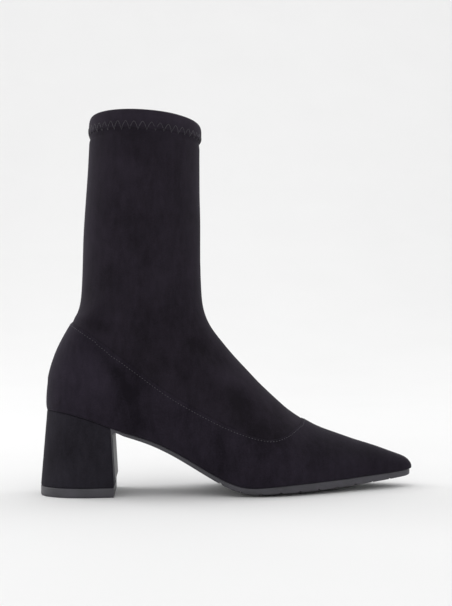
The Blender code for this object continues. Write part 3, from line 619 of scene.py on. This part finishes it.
# Polyester sewing thread: twisted filament, a little glossy, and lighter than the nap around it.
thread = bpy.data.materials.new("polyester_thread")
thread.use_nodes = True
tree = thread.node_tree
shader = tree.nodes["Principled BSDF"]
place = add(tree, "ShaderNodeTexCoord").outputs["Object"]
strand = add(tree, "ShaderNodeTexNoise", {"Vector": place, "Scale": 700.0, "Detail": 2.0})
tone = add(tree, "ShaderNodeValToRGB", {"Fac": strand.outputs["Fac"]})
tone.color_ramp.elements[0].position, tone.color_ramp.elements[0].color = 0.35, linear("#2c2a2f")
tone.color_ramp.elements[1].position, tone.color_ramp.elements[1].color = 0.65, linear("#424046")
tree.links.new(tone.outputs["Color"], shader.inputs["Base Color"])
shader.inputs["Roughness"].default_value = 0.5
stitches.data.materials.append(thread)
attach(stitches, "root")

# Zigzag seam of the hem
# The folded top of the sock is held by a zigzag of the same thread, 5.6 mm to a stroke and back and
# 5 mm tall, so that the collar can stretch over the foot. It lies on the outside of the hem.
ZIGZAG_PITCH, ZIGZAG_LOW, ZIGZAG_HIGH, ZIGZAG_THREAD, STROKE_POINTS = 5.6, 0.09, 0.42, 0.16, 12
girth = ring(between(hem, rim, 0.3), HEM_RAISE)
length = np.linalg.norm(np.diff(np.vstack([girth, girth[:1]]), axis=0), axis=1).sum()
strokes = int(round(length / ZIGZAG_PITCH))
path = []
for n in range(strokes * STROKE_POINTS):
    turn = n / (strokes * STROKE_POINTS)
    wave = 1 - abs(2 * (n % STROKE_POINTS) / STROKE_POINTS - 1) ** 1.5
    level = ZIGZAG_LOW + (ZIGZAG_HIGH - ZIGZAG_LOW) * wave
    across = np.array([-1 + 2 * turn])
    row = HEM_ROW + level * (1 - RIM_DIP * (1 - 2 * np.abs(across)) ** 2)
    spot = last_points(row, across)
    sunk = 0.07 * math.sin(turn * 83) + 0.06 * math.sin(turn * 37 + 1)
    raised_by = HEM_RAISE * np.interp(level, (0.10, 0.2, 0.26), (0.15, 0.9, 1.0))
    swell = raised_by + fold(spot, across) + sunk
    path.append((spot + swell[:, None] * last_normals(row, across))[0] * MM)
line = bpy.data.curves.new("hem_zigzag", "CURVE")
line.dimensions = "3D"
line.bevel_depth = ZIGZAG_THREAD * MM
line.bevel_resolution = 1
run = line.splines.new("POLY")
run.points.add(len(path) - 1)
for point, spot in zip(run.points, path):
    point.co = (*spot, 1)
run.use_cyclic_u = True
zigzag = bpy.data.objects.new("hem_zigzag", line)
bpy.context.scene.collection.objects.link(zigzag)
bpy.context.view_layer.objects.active = zigzag
zigzag.select_set(True)
bpy.ops.object.convert(target="MESH")
zigzag = bpy.context.object
zigzag.data.materials.clear()
zigzag.data.materials.append(thread)
zigzag.data.shade_smooth()
zigzag.select_set(False)
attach(zigzag, "root")

# Insole
# The insole is a board with a soft sock of microfibre glued on it. It lies in the bottom of the
# boot, and its edge is rolled down against the wall.
INSOLE_THICKNESS, INSOLE_INSET, INSOLE_FIRST_ROW = 3.0, 0.3, 2.6
INSOLE_EDGE = (
    # height, how much further in
    (0.0, 0.1), (0.3, 0.0), (2.2, 0.0), (2.7, 0.25), (2.95, 0.7), (INSOLE_THICKNESS, 1.6),
)


def edge_outline(rows, outset):
    """Outer and inner edge of the last's underside in plan, each set outwards level with itself."""
    edges = []
    for hand in (-1, 1):
        points = last_points(rows, hand * np.ones_like(rows))
        tangent = np.gradient(points[:, :2], axis=0)
        normal = np.stack([tangent[:, 1], -tangent[:, 0]], -1)
        normal *= np.where(normal[:, 1] * hand < 0, -1, 1)[:, None]
        normal /= np.linalg.norm(normal, axis=1, keepdims=True)
        tip = np.abs(points[:, 1]) < 0.01
        normal[tip] = np.sign(points[tip, :1]) * (1, 0)
        points[:, :2] += outset * normal
        edges.append(points)
    return edges


def levels_to_rings(levels):
    """The two edges of each level joined into one ring."""
    return [np.vstack([outer, inner[::-1]]) for outer, inner in levels]


rows = np.linspace(INSOLE_FIRST_ROW, HEEL_ROW, 120)
levels = []
for z, more in INSOLE_EDGE:
    levels.append([edge + (0, 0, z) for edge in edge_outline(rows, -INSOLE_INSET - more)])
insole = piece("insole_sock", levels_to_rings(levels), strips=(0, len(levels) - 1))
# Insole microfibre: thin and rubbed smooth, and a little greyer than the cloth outside.
insole_cloth = suede("insole_microfibre", "#1e1d21", "#323136", 0.9, 0.05, 0.4)
insole.data.materials.append(insole_cloth)
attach(insole, "root")
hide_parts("insole")

# Heel
# The heel is a moulded block wrapped in the same microfibre suede as the shell. Its cloth is drawn
# round the sides and back and glued under the flap on the breast.
HEEL_BACK_FOOT, HEEL_BREAST_TOP, HEEL_BREAST_FOOT, HEEL_FOOT_TAPER = -130.0, -80.9, -78.8, 0.96
HEEL_OVERHANG, LIFT_THICKNESS, SEAT_GAP = 0.4, 6.4, 0.3


def row_at(x):
    """Row of the section that meets the sole's edge at x."""
    under = STEPS <= HEEL_ROW
    return float(np.interp(-x, -BACK_LINE[under, 0], STEPS[under]))


def heel_level(share, inset):
    """Outer and inner edge of the heel, from 0 at its foot to 1 at its seat."""
    rows = np.linspace(row_at(HEEL_BREAST_TOP), HEEL_ROW, 70)
    seat = edge_outline(rows, HEEL_OVERHANG - inset)
    seat_back = seat[0][-1, 0]
    foot_z = LIFT_THICKNESS + SEAT_GAP
    level = []
    for edge in seat:
        along = (edge[:, 0] - seat_back) / (edge[0, 0] - seat_back)
        foot_x = HEEL_BACK_FOOT + inset + along * (HEEL_BREAST_FOOT - HEEL_BACK_FOOT - inset)
        seat_x = seat_back + along * (HEEL_BREAST_TOP - seat_back)
        taper = HEEL_FOOT_TAPER + (1 - HEEL_FOOT_TAPER) * share
        x = foot_x + (seat_x - foot_x) * share
        z = foot_z + (edge[:, 2] - SEAT_GAP - foot_z) * share
        level.append(np.stack([x, edge[:, 1] * taper, z], -1))
    return level


levels = [heel_level(0.0, 0.35), heel_level(0.006, 0.1)]
levels += [heel_level(share, 0.0) for share in np.linspace(0.014, 0.975, 30)]
levels += [heel_level(0.988, 0.12), heel_level(0.996, 0.4), heel_level(1.0, 0.8)]
heel = piece("heel_cover", levels_to_rings(levels), strips=(0, len(levels) - 1))
# Microfibre suede stretched round the block, so its nap is shorter and a little greyer.
heel_suede = suede("heel_cover_suede", "#1a181d", "#2f2d34", 1.1, 0.06, 0.55)
heel.data.materials.append(heel_suede)
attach(heel, "root")
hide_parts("heel")

# Outsole
# The outsole is one sheet of smooth rubber. It is thickest under the ball, thins out through the
# waist and turns down over the breast of the heel as a flap, and grooves cross its forepart.
FIRST_GROOVE, GROOVE_COUNT, GROOVE_PITCH, GROOVE_WIDTH, GROOVE_DEPTH = -7.3, 10, 13.3, 1.9, 1.1
FLAP_THICKNESS, FLAP_FOOT = 1.1, 9.5
TIP_SETBACK, EDGE_ROUND, GROOVE_CLEAR = 1.2, 0.9, 1.3
TREAD = np.r_[-1, -0.998, -0.99, -0.975, np.linspace(-0.95, 0.95, 25), 0.975, 0.99, 0.998, 1]

# Moulded rubber: smooth and matt with a faint bloom, greyer than the cloth, over a 0.7 mm grit.
rubber = bpy.data.materials.new("moulded_rubber_sole")
rubber.use_nodes = True
tree = rubber.node_tree
shader = tree.nodes["Principled BSDF"]
place = add(tree, "ShaderNodeTexCoord").outputs["Object"]
smudge = add(tree, "ShaderNodeTexNoise", {
    "Vector": place, "Scale": 90.0, "Detail": 5.0, "Roughness": 0.6})
tone = add(tree, "ShaderNodeValToRGB", {"Fac": smudge.outputs["Fac"]})
tone.color_ramp.elements[0].position, tone.color_ramp.elements[0].color = 0.3, linear("#333237")
tone.color_ramp.elements[1].position, tone.color_ramp.elements[1].color = 0.7, linear("#413f46")
tree.links.new(tone.outputs["Color"], shader.inputs["Base Color"])
grit = add(tree, "ShaderNodeTexNoise", {"Vector": place, "Scale": 1400.0, "Detail": 2.0})
fine = add(tree, "ShaderNodeBump", {
    "Height": grit.outputs["Fac"], "Strength": 0.25, "Distance": 0.0002})
tree.links.new(fine.outputs["Normal"], shader.inputs["Normal"])
rough = add(tree, "ShaderNodeMapRange", {
    "Value": smudge.outputs["Fac"], "To Min": 0.42, "To Max": 0.6})
tree.links.new(rough.outputs["Result"], shader.inputs["Roughness"])


def sole_section(x, carve):
    """Section of the sole at x: its top from the inner edge out, then its tread, cut by carve."""
    row = row_at(x)
    outer, inner = (last_points(row, hand) + (0, 0.3 * hand, -SEAT_GAP) for hand in (-1.0, 1.0))
    setback = np.array([TIP_SETBACK * np.clip(1 - row / 3, 0, 1), 0, 0])
    middle, half = (outer + inner) / 2, (inner - outer) / 2
    lower = middle + TREAD[:, None] * half
    bottom = outer[2] - column("sole", row)
    crown = column("drop", row) * (1 - np.abs(TREAD) ** 2.2)
    lower[:, 2] = np.maximum(bottom - crown, 0)
    round_by = np.interp(np.abs(TREAD), [0.975, 0.99, 0.998, 1.0], [0.0, 0.12, 0.5, 1.0])
    lower[:, 2] += round_by * EDGE_ROUND + carve * (1 - round_by)
    inset = np.array([0, 0.5, 0])
    upper_in = [inner - (0, 0, 0.7), inner - (0, 0.15, 0.25), inner - inset]
    upper_out = [outer + inset, outer + (0, 0.15, -0.25), outer - (0, 0, 0.7)]
    return np.vstack([upper_in, upper_out, lower]) - setback


def flap_section(back, lower_x, lower_z):
    """Section of the flap, with as many points: its back at the heel and its face before it."""
    outer, inner = back
    lower = (outer + inner) / 2 + TREAD[:, None] * (inner - outer) / 2
    soften = np.interp(np.abs(TREAD), [0.975, 0.99, 0.998, 1.0], [0.0, 0.04, 0.12, 0.3])
    lower[:, 0] = lower_x - soften
    lower[:, 2] = lower_z
    upper_in = [inner, inner - (0, 0.1, 0), inner - (0, 0.4, 0)]
    upper_out = [outer + (0, 0.4, 0), outer + (0, 0.1, 0), outer]
    return np.vstack([upper_in, upper_out, lower])


# The grooves' walls lean a little, and the rows between them stay clear of their edges.
grooves = FIRST_GROOVE + GROOVE_PITCH * np.arange(GROOVE_COUNT)
rows = np.r_[0.08, 0.2, 0.35, 0.5, 0.7, np.linspace(0.9, 13.8, 150)]
cuts = [(x, 0.0) for x in column("back_x", rows) if np.min(np.abs(grooves - x)) > GROOVE_CLEAR]
for groove in grooves:
    half = GROOVE_WIDTH / 2
    for away, depth in ((half, 0.0), (half - 0.12, 0.12), (half - 0.3, 0.9), (half - 0.5, 1.0)):
        cuts += [(groove - away, depth * GROOVE_DEPTH), (groove + away, depth * GROOVE_DEPTH)]
rings = [sole_section(x, carve) for x, carve in sorted(cuts, reverse=True)]
seat_out, seat_in = (edge[0] for edge in heel_level(1.0, 0.0))
forward = np.array([SEAT_GAP, 0, 0])
for ahead_by, drop_by, lower_x, lower_z in (
    (2.6, 1.0, 4.2, 3.25), (1.6, 0.7, 3.0, 3.35), (0.9, 0.4, 2.3, 3.6), (0.3, 0.1, 1.9, 4.1),
):
    back = [edge + (ahead_by, 0, -drop_by) for edge in (seat_out, seat_in)]
    rings.append(flap_section(back, HEEL_BREAST_TOP + lower_x, seat_out[2] - lower_z))
foot_share = (FLAP_FOOT - LIFT_THICKNESS) / (seat_out[2] - LIFT_THICKNESS)
for share in np.linspace(0.9, foot_share, 24):
    outer, inner = (edge[0] + forward for edge in heel_level(share, 0.0))
    thin = FLAP_THICKNESS * (0.55 if share == foot_share else 1.0)
    rings.append(flap_section((outer, inner), outer[0] + thin, outer[2]))
outsole = piece("outsole_sheet", rings)
bpy.context.view_layer.objects.active = outsole
outsole.select_set(True)
bpy.ops.object.mode_set(mode="EDIT")
bpy.ops.mesh.select_all(action="SELECT")
bpy.ops.mesh.fill_holes(sides=0)
bpy.ops.mesh.normals_make_consistent(inside=False)
bpy.ops.object.mode_set(mode="OBJECT")
outsole.select_set(False)
outsole.data.materials.append(rubber)
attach(outsole, "root")
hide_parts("outsole")

# Top lift
# The top lift is a slab of hard-wearing rubber pinned under the heel, trimmed flush with its cover.
LIFT_EDGE = (
    # height, inset
    (0.0, 0.6), (0.12, 0.25), (0.5, 0.0), (2.0, 0.0), (5.9, 0.0), (6.25, 0.12),
    (LIFT_THICKNESS, 0.4),
)
levels = []
for z, inset in LIFT_EDGE:
    level = heel_level(0.0, inset)
    for edge in level:
        edge[:, 2] = z
    levels.append(level)
lift = piece("heel_lift", levels_to_rings(levels), strips=(0, len(levels) - 1))
# Hard rubber: the same moulded rubber, in a harder grade.
lift_rubber = rubber.copy()
lift_rubber.name = "hard_rubber_lift"
lift.data.materials.append(lift_rubber)
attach(lift, "root")
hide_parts("top_lift")

# The boot stands with the middle of its footprint at the origin, as its solids do.
LENGTH_SHIFT = -0.15
upper_low, upper_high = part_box("upper")
own = np.array([v.co for v in shell.data.vertices])
own_middle = (own[:, 1].min() + own[:, 1].max()) / 2
shift = Vector((LENGTH_SHIFT * MM, (upper_low[1] + upper_high[1]) / 2 - own_middle, 0))
for made in (sock, shell, stitches, zigzag, insole, heel, outsole, lift):
    made.data.transform(Matrix.Translation(shift))

# Studio
# A pale paper sweep, two tall softboxes behind the boot that light its edges, one above it and one
# for the paper behind. The camera stands level with the ankle on the boot's outer side.
SWEEP_FRONT, SWEEP_FLAT, SWEEP_RADIUS, SWEEP_LENGTH, SWEEP_WIDTH = 3.5, 4.3, 2.5, 11.0, 12.0
bpy.ops.mesh.primitive_grid_add(x_subdivisions=2, y_subdivisions=90, size=1.0, location=(0, 0, 0))
sweep = bpy.context.object
sweep.name = "paper_sweep"
for vertex in sweep.data.vertices:
    along = (vertex.co.y + 0.5) * SWEEP_LENGTH
    turn = np.clip((along - SWEEP_FLAT) / SWEEP_RADIUS, 0, math.pi / 2)
    past = max(along - SWEEP_FLAT - SWEEP_RADIUS * math.pi / 2, 0)
    behind = min(along, SWEEP_FLAT) + SWEEP_RADIUS * math.sin(turn) - SWEEP_FRONT
    vertex.co = (vertex.co.x * SWEEP_WIDTH, behind, SWEEP_RADIUS * (1 - math.cos(turn)) + past)
sweep.data.shade_smooth()
paper = bpy.data.materials.new("white_paper")
paper.use_nodes = True
tree = paper.node_tree
shader = tree.nodes["Principled BSDF"]
place = add(tree, "ShaderNodeTexCoord").outputs["Object"]
fibre = add(tree, "ShaderNodeTexNoise", {"Vector": place, "Scale": 6.0, "Detail": 2.0})
tone = add(tree, "ShaderNodeValToRGB", {"Fac": fibre.outputs["Fac"]})
tone.color_ramp.elements[0].color = linear("#ebebeb")
tone.color_ramp.elements[1].color = linear("#eeeeee")
tree.links.new(tone.outputs["Color"], shader.inputs["Base Color"])
shader.inputs["Roughness"].default_value = 0.9
shader.inputs["Specular IOR Level"].default_value = 0.1
sweep.data.materials.append(paper)
sweep.select_set(False)

for name, place, aim, width, height, power in (
    ("softbox_left", (-1.3, 0.5, 0.8), (-0.1, 0, 0.15), 0.8, 1.4, 8),
    ("softbox_right", (1.3, 0.5, 0.8), (0, 0, 0.12), 0.8, 1.4, 4),
    ("softbox_top", (0.0, 0.1, 1.7), (0, 0, 0.1), 1.6, 1.2, 3),
    ("paper_light", (0.0, 0.9, 2.2), (0, 2.9, 1.8), 4.0, 0.6, 11),
):
    light = bpy.data.lights.new(name, "AREA")
    light.shape = "RECTANGLE"
    light.size, light.size_y, light.energy = width, height, power
    lamp = bpy.data.objects.new(name, light)
    lamp.location = place
    lamp.rotation_euler = (Vector(aim) - Vector(place)).to_track_quat("-Z", "Y").to_euler()
    bpy.context.scene.collection.objects.link(lamp)

world = bpy.data.worlds.new("studio_air")
world.use_nodes = True
world.node_tree.nodes["Background"].inputs["Color"].default_value = linear("#ffffff")
world.node_tree.nodes["Background"].inputs["Strength"].default_value = 0.90
bpy.context.scene.world = world
# The studio photo has a plain tone curve, which keeps the black cloth black on white paper.
bpy.context.scene.view_settings.view_transform = "Standard"

eye, target, roll = Vector((-0.050, -0.710, 0.106)), Vector((0.0, 0.0, 0.131)), math.radians(-0.7)
ahead = (target - eye).normalized()
right = ahead.cross(Vector((0, 0, 1))).normalized()
up = right.cross(ahead)
cos_roll, sin_roll = math.cos(roll), math.sin(roll)
right, up = right * cos_roll + up * sin_roll, up * cos_roll - right * sin_roll
lens = bpy.data.cameras.new("camera")
lens.lens, lens.sensor_width, lens.clip_end = 59.8, 36.0, 30.0
camera = bpy.data.objects.new("camera", lens)
camera.matrix_world = Matrix((
    (right.x, up.x, -ahead.x, eye.x),
    (right.y, up.y, -ahead.y, eye.y),
    (right.z, up.z, -ahead.z, eye.z),
    (0, 0, 0, 1),
))
bpy.context.scene.collection.objects.link(camera)
bpy.context.scene.camera = camera
